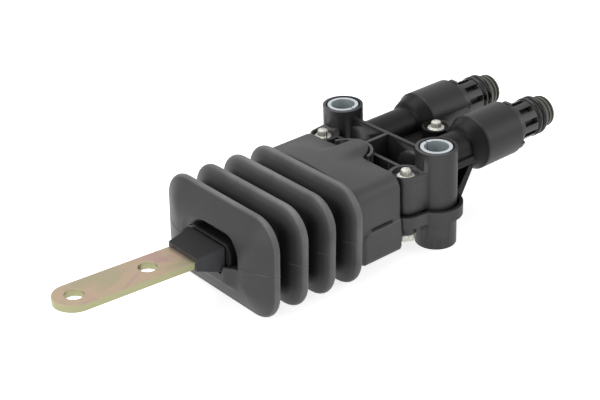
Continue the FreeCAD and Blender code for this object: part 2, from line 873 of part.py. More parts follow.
def main():
    os.makedirs("parts", exist_ok=True)
    write("upper_housing", upper_housing())
    write("lower_housing", lower_housing())
    write("housing_gasket", housing_gasket())
    write("housing_screws", housing_screws())
    write("housing_nuts", housing_nuts())
    write("boot", boot())
    write("pivot_pin", pivot_pin())
    write("valve_sleeve", valve_sleeve())
    write("valve_spool", valve_spool())
    write("spool_seals", spool_seals())
    write("valve_spring", valve_spring())
    write("valve_cap", valve_cap())
    write("lever_strip", lever_strip())
    write("lever_carrier", lever_carrier())
    write("lever_rivets", lever_rivets())
    write("port_seals", port_seals())
    for side in sides:
        write(names[side] + "_mounting_bush", mounting_bush(side))
        write(names[side] + "_port_crown", port_crown(side))
        write(names[side] + "_port_spigot", port_spigot(side))


main()
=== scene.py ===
import math

import bmesh
import bpy
from mathutils import Matrix, Vector


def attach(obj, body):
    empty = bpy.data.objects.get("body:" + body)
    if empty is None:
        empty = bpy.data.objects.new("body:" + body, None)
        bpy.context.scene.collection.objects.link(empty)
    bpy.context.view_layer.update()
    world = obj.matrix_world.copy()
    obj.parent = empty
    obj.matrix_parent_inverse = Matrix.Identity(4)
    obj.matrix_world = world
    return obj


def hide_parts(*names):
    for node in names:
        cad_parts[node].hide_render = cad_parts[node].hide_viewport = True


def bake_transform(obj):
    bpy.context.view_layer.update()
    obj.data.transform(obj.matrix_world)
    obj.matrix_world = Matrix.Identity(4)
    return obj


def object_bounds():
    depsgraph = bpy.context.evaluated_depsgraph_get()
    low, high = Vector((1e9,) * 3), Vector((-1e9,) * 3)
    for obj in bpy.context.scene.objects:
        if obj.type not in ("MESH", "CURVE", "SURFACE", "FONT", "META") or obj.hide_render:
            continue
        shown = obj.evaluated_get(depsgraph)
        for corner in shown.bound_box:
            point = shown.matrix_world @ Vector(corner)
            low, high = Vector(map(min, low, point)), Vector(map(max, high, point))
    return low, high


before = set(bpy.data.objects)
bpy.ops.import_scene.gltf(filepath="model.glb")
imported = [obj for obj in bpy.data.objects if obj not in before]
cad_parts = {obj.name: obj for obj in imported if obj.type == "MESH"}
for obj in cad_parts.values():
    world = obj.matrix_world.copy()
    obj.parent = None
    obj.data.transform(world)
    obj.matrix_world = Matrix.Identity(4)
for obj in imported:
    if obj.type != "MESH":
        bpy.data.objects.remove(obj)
cadBox = [list(corner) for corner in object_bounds()]

# Cab suspension valve: moulded housing, rubber bellows, plated lever, two air ports.
# Sizes below are millimetres in the CAD frame; meshes are scaled to metres once they are done.
mm = 0.001
splitLine = 16.3                                # parting plane of the housing and the rubber
leverPivot = Vector((-28.3, 0, splitLine))
print("frame loaded")


def newPiece(name, bm, body, finish, smoothAngle):
    # turns a finished bmesh in mm into a piece that rides on a body
    bmesh.ops.scale(bm, vec=Vector((mm, mm, mm)), verts=bm.verts)
    mesh = bpy.data.meshes.new(name)
    bm.to_mesh(mesh)
    bm.free()
    piece = bpy.data.objects.new(name, mesh)
    bpy.context.scene.collection.objects.link(piece)
    mesh.polygons.foreach_set("use_smooth", [True] * len(mesh.polygons))
    mesh.set_sharp_from_angle(angle=math.radians(smoothAngle))
    mesh.materials.append(finish)
    if body:
        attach(piece, body)
    return piece


def easeStep(low, high, value):
    # 0 at low and beyond, 1 at high and beyond, smooth between
    t = min(max((value - low) / (high - low), 0), 1)
    return t * t * (3 - 2 * t)


def easeDown(low, high, value):
    return 1 - easeStep(low, high, value)


# finishes

def linear(code):
    # sRGB hex to the linear values that the shader wants
    parts = [int(code[i:i + 2], 16) / 255 for i in (1, 3, 5)]
    return [c / 12.92 if c <= 0.04045 else ((c + 0.055) / 1.055) ** 2.4 for c in parts] + [1]


def addNode(tree, kind, settings=None, links=None):
    # each setting goes to the input socket of that name or number, or else to the node's own property
    node = tree.nodes.new("ShaderNode" + kind)
    for key, value in (settings or {}).items():
        if isinstance(key, int) or key in node.inputs:
            node.inputs[key].default_value = value
        else:
            setattr(node, key, value)
    for key, source in (links or {}).items():
        tree.links.new(source, node.inputs[key])
    return node


def newFinish(name, **values):
    finish = bpy.data.materials.new(name)
    finish.use_nodes = True
    shader = finish.node_tree.nodes["Principled BSDF"]
    for key, value in values.items():
        shader.inputs[key.replace("_", " ")].default_value = value
    return finish, finish.node_tree, shader


def cloudy(tree, sizeMm, detail=2, roughness=0.5):
    # noise fixed to the object, with patches about sizeMm across
    place = addNode(tree, "TexCoord").outputs["Object"]
    settings = {"Scale": 1 / (sizeMm * mm), "Detail": detail, "Roughness": roughness}
    return addNode(tree, "TexNoise", settings, {"Vector": place})


def shaded(tree, source, span, first, second):
    # goes from one colour to the other as the source crosses the span; each is a hex code or a socket
    share = addNode(tree, "MapRange", {"From Min": span[0], "From Max": span[1]}, {"Value": source})
    # a colour mix takes its colours at sockets 6 and 7 and gives the result at 2
    mixed = addNode(tree, "Mix", {"data_type": "RGBA"}, {0: share.outputs[0]})
    for socket, colour in ((6, first), (7, second)):
        if isinstance(colour, str):
            mixed.inputs[socket].default_value = linear(colour)
        else:
            tree.links.new(colour, mixed.inputs[socket])
    return mixed.outputs[2]


def softEdges(tree, shader, heightSource, radiusMm, strength, depthMm):
    # rounds the sharp CAD edges in the light and lays the surface grain over them
    corner = addNode(tree, "Bevel", {"Radius": radiusMm * mm, "samples": 6})
    bump = addNode(tree, "Bump", {"Strength": strength, "Distance": depthMm * mm},
                   {"Height": heightSource, "Normal": corner.outputs["Normal"]})
    tree.links.new(bump.outputs["Normal"], shader.inputs["Normal"])


def grained(tree, shader, sizeMm, strength, depthMm):
    # surface grain for the pieces whose edges are round already
    grain = cloudy(tree, sizeMm)
    bump = addNode(tree, "Bump", {"Strength": strength, "Distance": depthMm * mm},
                   {"Height": grain.outputs["Fac"]})
    tree.links.new(bump.outputs["Normal"], shader.inputs["Normal"])


def paintedLightOnTop(finish, tree, shader, colour, code):
    # painted light: another colour on the faces that look up
    face = addNode(tree, "NewGeometry")
    upward = addNode(tree, "SeparateXYZ", links={0: face.outputs["Normal"]})
    colour = shaded(tree, upward.outputs["Z"], (0.55, 0.85), colour, code)
    tree.links.new(colour, shader.inputs["Base Color"])
    return finish


def lengthwise(tree):
    # the object's X, along which the port ends change
    place = addNode(tree, "TexCoord").outputs["Object"]
    return addNode(tree, "SeparateXYZ", links={0: place}).outputs["X"]


# the fold colour is painted shade for the folds, grooves and inside; the rim colour is rubbing on the
# fold edges and parting line with a painted highlight; the open and dusted tones are the skin's own
# patches
rubberSkin = {"fold": "#131314", "open": "#2c2c2d", "unshadedDust": "#363637", "rim": "#7d7d7e", "patchMm": 14,
              "grainMm": 0.5, "grainDepthMm": 0.05, "foldGloss": 0.12, "openGloss": 0.5}


def makeBootRubber():
    # compression moulded EPDM: matt, faintly dusted, grey where the fold edges show rubbing with a
    # painted highlight, and painted black and less glossy as shade in the folds and grooves
    finish, tree, shader = newFinish("mouldedEpdmRubber", Roughness=0.5)
    cloud = cloudy(tree, rubberSkin["patchMm"], 3).outputs["Fac"]
    # share of dusting against painted shade: a low share paints the folds' shade in the fold colour
    dustAndShade = addNode(tree, "Attribute", {"attribute_name": "dustAndShadeShare"}).outputs["Fac"]
    # rubbing on the fold edges and parting line, with a painted highlight on top
    rubbedAndLit = addNode(tree, "Attribute", {"attribute_name": "foldWearAndHighlight"}).outputs["Fac"]
    lighterTone = addNode(tree, "Math", {"operation": "MULTIPLY"}, {0: rubbedAndLit, 1: cloud}).outputs["Value"]
    skin = shaded(tree, cloud, (0.3, 0.7), rubberSkin["open"], rubberSkin["unshadedDust"])
    # painted shade in the folds and grooves
    skin = shaded(tree, dustAndShade, (0, 1), rubberSkin["fold"], skin)
    # rim colour: rubbing with a painted highlight
    skin = shaded(tree, lighterTone, (0, 1), skin, rubberSkin["rim"])
    tree.links.new(skin, shader.inputs["Base Color"])
    # the folds' painted shade is also less glossy
    sheen = {"From Max": 0.4, "To Min": rubberSkin["foldGloss"], "To Max": rubberSkin["openGloss"]}
    gloss = addNode(tree, "MapRange", sheen, {"Value": dustAndShade})
    tree.links.new(gloss.outputs[0], shader.inputs["Specular IOR Level"])
    grained(tree, shader, rubberSkin["grainMm"], 0.25, rubberSkin["grainDepthMm"])
    return finish


nylonSkin = {"dark": "#262627", "light": "#313132", "grainMm": 0.35, "flowMm": 9, "gloss": 0.5,
             "tubeGloss": 0.15, "bodyGloss": 0.3425}
# colours of painted shade on the air ports: dark along the tubes, black on the shoulder, dark on the
# bodies, each with the stretch of X in mm over which it comes in
portShade = {"tube": ("#171718", (-4, 4)), "shoulder": ("#090909", (21.0, 22.5)),
             "body": ("#19191a", (28.0, 28.1))}
# the neck colour is painted shade, seen through the gaps of the crown
spigotSkin = {"dark": "#48473f", "light": "#57564d", "neck": "#101010", "mouth": 58.3}


def makeNylon(name, dark, light, rough, cornerMm=0.35):
    # injection moulded glass filled nylon: satin black with a fine spark texture and faint flow clouds
    finish, tree, shader = newFinish(name, Roughness=rough)
    flow = cloudy(tree, nylonSkin["flowMm"], 3)
    colour = shaded(tree, flow.outputs["Fac"], (0.35, 0.7), dark, light)
    tree.links.new(colour, shader.inputs["Base Color"])
    grain = cloudy(tree, nylonSkin["grainMm"])
    softEdges(tree, shader, grain.outputs["Fac"], cornerMm, 0.2, 0.04)
    return finish, tree, shader, colour


def makeHousingNylon():
    # the same nylon with painted shade along X: darker along the air tubes, black on the shoulder of the
    # port bodies, dark on the bodies; duller along the tubes
    dark, light = nylonSkin["dark"], nylonSkin["light"]
    finish, tree, shader, colour = makeNylon("mouldedGlassNylon", dark, light, 0.42)
    along = lengthwise(tree)
    # painted shade on the ports, zone by zone along X
    for code, span in portShade.values():
        colour = shaded(tree, along, [x * mm for x in span], colour, code)
    tree.links.new(colour, shader.inputs["Base Color"])
    start, end = portShade["tube"][1]
    gloss = addNode(tree, "MapRange", {"From Min": start * mm, "From Max": end * mm,
                                       "To Min": nylonSkin["gloss"], "To Max": nylonSkin["tubeGloss"]},
                    {"Value": along})
    start, end = portShade["body"][1]
    gloss = addNode(tree, "MapRange", {"From Min": start * mm, "From Max": end * mm,
                                       "To Max": nylonSkin["bodyGloss"]},
                    {"Value": along, "To Min": gloss.outputs[0]})
    tree.links.new(gloss.outputs[0], shader.inputs["Specular IOR Level"])
    return finish


def makeSpigotNylon():
    # olive grey ring at the mouth; the neck behind the crown is painted black as shade
    dark, light = spigotSkin["dark"], spigotSkin["light"]
    finish, tree, shader, colour = makeNylon("mouldedOliveGreyNylon", dark, light, 0.45, 0.15)
    # painted shade on the neck behind the crown
    mouth = addNode(tree, "Math", {"operation": "GREATER_THAN", 1: spigotSkin["mouth"] * mm},
                    {0: lengthwise(tree)})
    colour = shaded(tree, mouth.outputs[0], (0, 1), spigotSkin["neck"], colour)
    tree.links.new(colour, shader.inputs["Base Color"])
    return finish


# painted light on the carrier: a dark top and lighter sides for how the light falls
carrierPaintedLight = {"top": "#0d0d0e", "side": "#3b3b3e", "lighterTone": "#454549", "gloss": 0.22}


def makeCarrierNylon():
    # the carrier's upper face is smooth and painted black as shaded, its sides are painted greyer as lit
    side, lighterTone = carrierPaintedLight["side"], carrierPaintedLight["lighterTone"]
    finish, tree, shader, colour = makeNylon("mouldedCarrierNylon", side, lighterTone, 0.5, 0.4)
    shader.inputs["Specular IOR Level"].default_value = carrierPaintedLight["gloss"]
    return paintedLightOnTop(finish, tree, shader, colour, carrierPaintedLight["top"])


def makeSteel(name, dark, light, rough, patchMm, cornerMm=0.2):
    # bright metal with a mottled bloom of darker and lighter patches
    finish, tree, shader = newFinish(name, Metallic=1, Roughness=rough)
    bloom = cloudy(tree, patchMm, 4, 0.65)
    colour = shaded(tree, bloom.outputs["Fac"], (0.35, 0.62), dark, light)
    tree.links.new(colour, shader.inputs["Base Color"])
    softEdges(tree, shader, bloom.outputs["Fac"], cornerMm, 0.25, 0.05)
    return finish, tree, shader, colour


def makeBushZinc():
    # rolled zinc plated sleeve: painted light by facing, a neutral grey on the cut end that looks up for
    # its shine, a dull blue grey on the bore
    finish, tree, shader, colour = makeSteel("rolledZincSleeve", "#b2bcbd", "#c3cbcc", 0.5, 3, 0.15)
    shader.inputs["Metallic"].default_value = 0.75
    return paintedLightOnTop(finish, tree, shader, colour, "#bcc1c5")


passivate = {"straw": "#b09b84", "rose": "#a98c86", "olive": "#a2997f", "edge": "#9c9b78", "patchMm": 17,
             "grainMm": 0.4}


def makeYellowZinc():
    # yellow passivated zinc on steel strip: straw with rose and olive interference patches
    finish, tree, shader = newFinish("yellowPassivatedZinc", Metallic=0.85, Roughness=0.38)
    cloud = cloudy(tree, passivate["patchMm"], 4, 0.6)
    cloud.inputs["Distortion"].default_value = 1.2
    colour = shaded(tree, cloud.outputs["Fac"], (0.33, 0.46), passivate["rose"], passivate["straw"])
    colour = shaded(tree, cloud.outputs["Fac"], (0.56, 0.68), colour, passivate["olive"])
    face = addNode(tree, "NewGeometry")
    upward = addNode(tree, "SeparateXYZ", links={0: face.outputs["Normal"]})
    steep = addNode(tree, "Math", {"operation": "LESS_THAN", 1: 0.5}, {0: upward.outputs["Z"]})
    colour = shaded(tree, steep.outputs["Value"], (0, 1), colour, passivate["edge"])
    tree.links.new(colour, shader.inputs["Base Color"])
    grain = cloudy(tree, passivate["grainMm"])
    softEdges(tree, shader, grain.outputs["Fac"], 0.25, 0.2, 0.03)
    return finish


def makeSealRubber():
    # nitrile rings: black and slightly oily
    finish, tree, shader = newFinish("oiledNitrileRubber", Base_Color=linear("#060606"), Roughness=0.24,
                                     Specular_IOR_Level=0.35)
    grained(tree, shader, 0.6, 0.15, 0.03)
    return finish


bootRubber = makeBootRubber()
housingNylon = makeHousingNylon()
carrierNylon = makeCarrierNylon()
crownAcetal = makeNylon("mouldedBlackAcetal", "#171718", "#232325", 0.36, 0.15)[0]
spigotNylon = makeSpigotNylon()
bushZinc = makeBushZinc()
brightZinc = makeSteel("brightZincSteel", "#959b9c", "#ced2d2", 0.5, 1.2)[0]
screwZinc = makeSteel("rolledZincScrewSteel", "#a9a8a1", "#cfcec6", 0.6, 0.9, 0.08)[0]
pinSteel = makeSteel("groundPinSteel", "#8d9094", "#b4b7ba", 0.25, 2.5, 0.1)[0]
turnedBrass = makeSteel("turnedBrass", "#a88a4c", "#c4a662", 0.3, 2.5, 0.1)[0]
yellowZinc = makeYellowZinc()
sealRubber = makeSealRubber()

nodeFinish = {
    "upper_housing": housingNylon, "lower_housing": housingNylon, "housing_gasket": sealRubber,
    "housing_screws": screwZinc, "housing_nuts": screwZinc, "boot": bootRubber, "pivot_pin": pinSteel,
    "valve_sleeve": turnedBrass, "valve_spool": turnedBrass, "spool_seals": sealRubber,
    "valve_spring": pinSteel, "valve_cap": crownAcetal, "lever_strip": yellowZinc,
    "lever_carrier": carrierNylon, "lever_rivets": brightZinc, "port_seals": sealRubber,
    "near_mounting_bush": bushZinc, "far_mounting_bush": bushZinc,
    "near_port_crown": crownAcetal, "far_port_crown": crownAcetal,
    "near_port_spigot": spigotNylon, "far_port_spigot": spigotNylon,
}
for nodeName, finish in nodeFinish.items():
    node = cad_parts[nodeName]
    node.data.materials.clear()
    node.data.materials.append(finish)
print("finishes on", len(nodeFinish), "CAD nodes")


# rubber bellows

bellows = {
    "halfWidth": 30.3, "halfHeight": 19.0, "corner": 11.0, "leastCorner": 2.0, "tilt": 2.6, "folds": 4,
    "pitch": 12.1, "lastFold": -41.2, "edgeRadius": 1.5, "edgeFoot": (1.06, 1.05), "valleyDepth": 9.0,
    "valleyRound": ((0, 0), (0.8, 0.35), (1.4, 1.3)), "wall": 1.8, "innerRound": 1.5, "innerEdge": 0.7,
    "innerInset": 0.8, "innerEnd": 11.5, "plateFace": -83.4, "plateRim": 1.1, "plateSteps": 17,
    "domeDepth": 5.4, "domeInset": 13.0, "domePower": 1.6, "flash": 0.18, "flashFade": (6, 9),
    # the next three: the plate's share of dusting against painted shade, the inset over which painted
    # shade deepens into the folds, the parting line's rubbing with a painted highlight
    "plateUnshadedDust": 0.65, "foldShadeSpan": (0.2, 7.2), "seamWearAndHighlight": 0.85,
}
pocket = {
    "halfWidth": 15.8, "top": 9.4, "shelf": -1.5, "corner": 7.0, "shelfCorner": 0.5, "depth": 6.0,
    "draft": 2.4, "lip": 0.4, "footRound": 0.4, "notchHalf": 9.95, "notchLow": -4.6, "notchEdge": 0.4,
    "openFrom": (1.1, 27.4), "openTurn": 51, "openSpan": (-0.6, 1.6), "openShare": 0.93,
}
sleeve = {
    "halfWidth": 12.1, "top": 5.8, "corner": 3.8, "low": -4.7, "stepIn": 0.2, "length": 8.5,
    "mouth": -0.1, "bead": -0.2, "boreHalf": 9.35, "boreTop": 4.6, "boreLow": -3.35,
    "boreCorners": (0.9, 0.6),
}
bulge = {"reach": 2.3, "halfWidth": 11.0, "drop": 7.5, "flare": 4.0, "fade": (1.2, -0.2)}
cuff = {
    "halfWidth": 26.2, "low": 3.6, "side": 33.3, "crown": 2.1, "corner": 5.5, "footCorner": 2.3,
    "back": -18.4, "front": -37.2, "wall": 2.1, "sole": 0.3, "edgeRadius": 0.9, "innerRound": 0.4,
    # the last entry steps the painted shadow of the last fold back along the cuff
    "steps": 26, "levelSpan": (-31, -17.8), "shadowFadeStep": 0.35,
}
tongue = {
    "middle": -18.6, "radius": 6.5, "rise": 0.6, "blend": 0.9, "root": (2.5, 7.5), "padSpan": (-32, -20),
    "padHalf": 8.0,
}
panel = {
    "front": -36.3, "top": 16.6, "raise": 0.75, "corner": 2.6, "edge": (0.2, -0.3), "flank": (1.6, 0.3),
    "slitStart": -32.4, "slitEnd": -22.4, "slitFade": 0.6, "slitHeight": 16.95, "slitDepth": 0.8,
    "slitHalf": 0.28, "seamFade": 0.5, "seamDepth": 0.25, "seamHalf": 0.2,
}
ringCounts = {"side": 13, "corner": 8, "top": 64, "bottom": 32}

# rings round the lever block, from the inside out
# distance along X from the plate, growth of the outline, share of dusting, where a low share is painted
# shade
boreProfile = ((sleeve["length"], 0, 0.3), (0.5, 0, 0.3), (0.1, 0.08, 0.3), (sleeve["mouth"], 0.3, 0.3))
sleeveProfile = ((sleeve["mouth"], -0.9, 0.2), (sleeve["bead"], -0.6, 0.1), (sleeve["bead"], -0.25, 0.1),
                 (0, 0, 0), (0.8, 0.05, 0))
# height over the groove's floor, growth of the sleeve's outline
grooveFoot = ((0.5, 0.3), (0, 0.8))
# share of the way down the groove's wall, share of dusting, where a low share is painted shade
grooveWall = ((0.9, 0), (0.6, 0), (0.3, 0.15))
# depth below the plate, growth of the groove's outline, share of dusting, where a low share is painted
# shade
grooveLip = ((0.7, -0.36, 0.3), (0.3, -0.2, 0.5), (0.08, 0.05, 0.65), (0, 0.35, 0.65))
# behind the last fold: share of the way along X to the cuff, share of the way out to its section
neckSteps = ((0.3, 0.55), (0.6, 0.85), (0.85, 0.97))


def runPoint(t):
    # spaces points along a side so that they gather at the parting line
    return t ** 1.6


def flatRing(x, outline):
    return [Vector((x, y, z)) for y, z in outline]


def sectionRing(halfWidth, low, high, cornerHigh, cornerLow, split, crown=0.0):
    # points (y, z) once round: up the near side from the parting line, over the top,
    # down the far side and back underneath
    sides, arcs = ringCounts["side"], ringCounts["corner"]
    points = []
    for i in range(sides):
        points.append((-halfWidth, split + (high - cornerHigh - split) * runPoint(i / sides)))
    flat = halfWidth - cornerHigh
    for i in range(arcs):
        turn = math.pi / 2 * i / arcs
        points.append((-flat - cornerHigh * math.cos(turn),
                       high - cornerHigh + cornerHigh * math.sin(turn)))
    for i in range(ringCounts["top"]):
        y = -flat + 2 * flat * i / ringCounts["top"]
        points.append((y, high + crown * (1 - (y / flat) ** 2)))
    for i in range(arcs):
        turn = math.pi / 2 * i / arcs
        points.append((flat + cornerHigh * math.sin(turn),
                       high - cornerHigh + cornerHigh * math.cos(turn)))
    for i in range(sides):
        points.append((halfWidth, split + (high - cornerHigh - split) * runPoint(1 - i / sides)))
    for i in range(sides):
        points.append((halfWidth, split - (split - low - cornerLow) * runPoint(i / sides)))
    flat = halfWidth - cornerLow
    for i in range(arcs):
        turn = math.pi / 2 * i / arcs
        points.append((flat + cornerLow * math.cos(turn), low + cornerLow - cornerLow * math.sin(turn)))
    for i in range(ringCounts["bottom"]):
        points.append((flat - 2 * flat * i / ringCounts["bottom"], low))
    for i in range(arcs):
        turn = math.pi / 2 * i / arcs
        points.append((-flat - cornerLow * math.sin(turn), low + cornerLow - cornerLow * math.cos(turn)))
    for i in range(sides):
        points.append((-halfWidth, split - (split - low - cornerLow) * runPoint(1 - i / sides)))
    return points


def foldRing(inset):
    # outline of a fold, this far in from its edge
    corner = max(bellows["corner"] - inset, bellows["leastCorner"])
    return sectionRing(bellows["halfWidth"] - inset, splitLine - bellows["halfHeight"] + inset,
                       splitLine + bellows["halfHeight"] - inset, corner, corner, splitLine)


def plateInset(y, z):
    # how far a point of the plate lies in from the fold's edge
    qy = abs(y) - (bellows["halfWidth"] - bellows["corner"])
    qz = abs(z - splitLine) - (bellows["halfHeight"] - bellows["corner"])
    outside = math.hypot(max(qy, 0), max(qz, 0)) + min(max(qy, qz), 0)
    return bellows["corner"] - outside


def plateFace(y, z):
    # domed front plate with the soft bulge under the lever block
    inset = plateInset(y, z)
    dome = bellows["domeDepth"] * max(1 - inset / bellows["domeInset"], 0) ** bellows["domePower"]
    across = max(abs(y) - bulge["halfWidth"], 0)
    down = max(splitLine - bulge["drop"] - z, 0)
    away = math.hypot(across, down) / bulge["flare"]
    shelf = splitLine + pocket["shelf"]
    under = easeStep(shelf + bulge["fade"][0], shelf + bulge["fade"][1], z)
    return bellows["plateFace"] + dome - bulge["reach"] * easeDown(0, 1, away) * under


def steppedRing(halfWidth, top, corner, low, edge):
    # a round-topped outline over the shelf whose floor steps down under the lever block
    shelf = splitLine + pocket["shelf"]
    under = splitLine + low
    stepped = []
    for y, z in sectionRing(halfWidth, shelf, splitLine + top, corner, pocket["shelfCorner"], splitLine):
        if z < shelf + 0.01:
            z += (under - z) * easeDown(edge, edge + pocket["notchEdge"], abs(y))
        stepped.append((y, z))
    return stepped


def pocketRing(grow):
    return steppedRing(pocket["halfWidth"] + grow, pocket["top"] + grow, pocket["corner"] + grow,
                       pocket["notchLow"], pocket["notchHalf"])


def sleeveRing(grow):
    return steppedRing(sleeve["halfWidth"] + grow, sleeve["top"] + grow, sleeve["corner"] + grow,
                       sleeve["low"] - grow, sleeve["boreHalf"] - sleeve["stepIn"])


def boreRing(grow):
    return sectionRing(sleeve["boreHalf"] + grow, splitLine + sleeve["boreLow"] - grow,
                       splitLine + sleeve["boreTop"] + grow, *sleeve["boreCorners"], splitLine)


def flashIndexes():
    # the two points of a ring that lie on the mould's parting line
    quarter = ringCounts["side"] + ringCounts["corner"]
    return 0, 2 * quarter + ringCounts["top"]


def lean(point):
    # the folds lean with the lever
    turn = Matrix.Rotation(math.radians(bellows["tilt"]), 4, "Y")
    return leverPivot + turn @ (point - leverPivot)


def pocketOpen(y, z):
    # the pocket's far upper corner slopes gently out to the plate
    turn = math.radians(pocket["openTurn"])
    away = (y - pocket["openFrom"][0]) * math.cos(turn) + (z - pocket["openFrom"][1]) * math.sin(turn)
    return easeStep(*pocket["openSpan"], away)


def pocketFloor(y, z):
    return bellows["plateFace"] + pocket["depth"] * (1 - pocket["openShare"] * pocketOpen(y, z))


def grooveRing(share):
    # the groove's sloping wall, from the plate (0) to the floor (1)
    ring = []
    for y, z in pocketRing(-pocket["draft"] * share):
        rim = plateFace(y, z) + pocket["lip"] * (1 - pocketOpen(y, z))
        ring.append(Vector((rim + (pocketFloor(y, z) - rim) * share, y, z)))
    return ring


def plateRings():
    # from the groove's lip out to the rim of the first fold
    inner, outer = pocketRing(grooveLip[-1][1]), foldRing(bellows["plateRim"])
    steps = bellows["plateSteps"]
    rings = []
    for i in range(1, steps + 1):
        share = i / steps
        ring = []
        for (y0, z0), (y1, z1) in zip(inner, outer):
            y, z = y0 + (y1 - y0) * share, z0 + (z1 - z0) * share
            ring.append(Vector((plateFace(y, z), y, z)))
        # the parting line stands proud of the plate and sinks in at its rim
        for spot in flashIndexes():
            ring[spot].x += -bellows["flash"] if i < steps - 1 else 2 * bellows["flash"]
        # the plate is partly painted in the folds' shade colour
        rings.append((ring, bellows["plateUnshadedDust"]))
    return rings


def frontRings():
    # each ring with its share of dusting, where a low share is painted shade: bore and sleeve round the
    # lever block, deep groove, front plate
    face = bellows["plateFace"]
    rings = []
    for along, grow, unshadedDust in boreProfile:
        rings.append((flatRing(face + along, boreRing(grow)), unshadedDust))
    for along, grow, unshadedDust in sleeveProfile:
        rings.append((flatRing(face + along, sleeveRing(grow)), unshadedDust))
    # the groove's foot and floor are painted fully in the shade colour
    for rise, grow in grooveFoot:
        rings.append(([Vector((pocketFloor(y, z) - rise, y, z)) for y, z in sleeveRing(grow)], 0))
    floor = pocketRing(-pocket["draft"] - pocket["footRound"])
    rings.append(([Vector((pocketFloor(y, z), y, z)) for y, z in floor], 0))
    for share, unshadedDust in grooveWall:
        rings.append((grooveRing(share), unshadedDust))
    for drop, grow, unshadedDust in grooveLip:
        rings.append(([Vector((plateFace(y, z) + drop * (1 - pocketOpen(y, z)), y, z))
                       for y, z in pocketRing(grow)], unshadedDust))
    return rings + plateRings()


def flankPoints():
    # (distance from the fold's middle, inset) from a valley's middle up to the fold's round edge
    half, depth, radius = bellows["pitch"] / 2, bellows["valleyDepth"], bellows["edgeRadius"]
    points = [(half - along, depth - rise) for along, rise in bellows["valleyRound"]]
    footX, footInset = points[-1]
    topX, topInset = [radius * share for share in bellows["edgeFoot"]]
    for share in (0.25, 0.5, 0.75):
        points.append((footX + (topX - footX) * share, footInset + (topInset - footInset) * share))
    return points


def foldStations():
    # (x, inset, rubbing with painted highlight) along the folds, from the front fold's edge to the last
    # fold's back
    radius = bellows["edgeRadius"]
    flank = flankPoints()
    stations = []
    for fold in range(bellows["folds"]):
        x = bellows["lastFold"] - (bellows["folds"] - 1 - fold) * bellows["pitch"]
        if fold:
            stations += [(x - along, inset, 0) for along, inset in flank]
        # the front fold starts further round, at the plate's rim
        for turn in range(-80 if fold else -40, 81, 20):
            a = math.radians(turn)
            stations.append((x + radius * math.sin(a), radius * (1 - math.cos(a)), math.cos(a) ** 0.5))
        if fold < bellows["folds"] - 1:
            stations += [(x + along, inset, 0) for along, inset in reversed(flank[1:])]
    return stations


def rearOutline(share):
    # back edge of the rubber in plan, from the tongue's tip (0) out to the cuff's corner (1)
    radius, blend = tongue["radius"], tongue["blend"]
    arc = math.pi / 2 - math.asin((cuff["back"] + blend - tongue["middle"]) / radius)
    arcEnd = Vector((tongue["middle"] + radius * math.cos(arc), radius * math.sin(arc)))
    flat = cuff["halfWidth"] - cuff["corner"]
    lengths = (arc * radius, blend * math.pi / 2, flat - arcEnd.y - blend)
    at = share * sum(lengths)
    if at < lengths[0]:
        turn = at / radius
        return Vector((tongue["middle"] + radius * math.cos(turn), radius * math.sin(turn)))
    at -= lengths[0]
    if at < lengths[1]:
        turn = at / blend
        return arcEnd + Vector((-blend * math.sin(turn), blend * (1 - math.cos(turn))))
    return Vector((cuff["back"], arcEnd.y + blend + at - lengths[1]))


def cuffSection():
    # the cuff's outline across the lever, with the crowned top
    return sectionRing(cuff["halfWidth"], cuff["low"], cuff["side"], cuff["corner"], cuff["footCorner"],
                       splitLine, cuff["crown"])


def rearEdge():
    # plan place and outward direction of the back edge for each point of a ring
    section = cuffSection()
    first = ringCounts["side"] + ringCounts["corner"]
    last = first + ringCounts["top"]
    half = ringCounts["top"] / 2
    step = 0.01
    places, outward = [], []
    for i, (y, z) in enumerate(section):
        if first <= i <= last:
            share = (i - first - half) / half
            side = -1 if share < 0 else 1
            here = rearOutline(abs(share))
            ahead = rearOutline(min(abs(share) + step, 1))
            behind = rearOutline(max(abs(share) - step, 0))
            along = (ahead - behind).normalized()
            places.append((here.x, side * here.y))
            outward.append(Vector((along.y, -side * along.x, 0)) if abs(share) > 0 else Vector((1, 0, 0)))
        else:
            places.append((cuff["back"], y))
            outward.append(Vector((1, 0, 0)))
    return places, outward


def topHeight(x, y):
    # crowned across, level along the back edge beside the tongue, with a low pad over the tongue
    flat = cuff["halfWidth"] - cuff["corner"]
    level = easeStep(*cuff["levelSpan"], x) * easeStep(*tongue["root"], abs(y))
    pad = easeStep(*tongue["padSpan"], x) * math.exp(-(y / tongue["padHalf"]) ** 2)
    return cuff["side"] + cuff["crown"] * (1 - (y / flat) ** 2) * (1 - level) + tongue["rise"] * pad


def skinNormals(ring):
    # outward direction of each point in the plane across the lever
    normals = []
    count = len(ring)
    for i in range(count):
        step = ring[(i + 1) % count] - ring[i - 1]
        normals.append(Vector((0, -step.z, step.y)).normalized())
    return normals


def panelLift(x, y, z):
    # raised lower panel and the pinched slit over it on the cuff's side
    flank = easeStep(*[cuff["halfWidth"] - reach for reach in panel["flank"]], abs(y))
    across = panel["front"] + panel["corner"] - x
    up = z - (panel["top"] - panel["corner"])
    outside = math.hypot(max(across, 0), max(up, 0)) + min(max(across, up), 0) - panel["corner"]
    lift = panel["raise"] * easeStep(*panel["edge"], outside)
    start, end, fade = panel["slitStart"], panel["slitEnd"], panel["slitFade"]
    slit = easeStep(start - fade, start + fade, x) * easeStep(end + fade, end - fade, x)
    lift -= panel["slitDepth"] * slit * math.exp(-((z - panel["slitHeight"]) / panel["slitHalf"]) ** 2)
    seam = panel["seamDepth"] * easeStep(end - panel["seamFade"], end + panel["seamFade"], x)
    return flank * (lift - seam * math.exp(-((z - splitLine) / panel["seamHalf"]) ** 2))


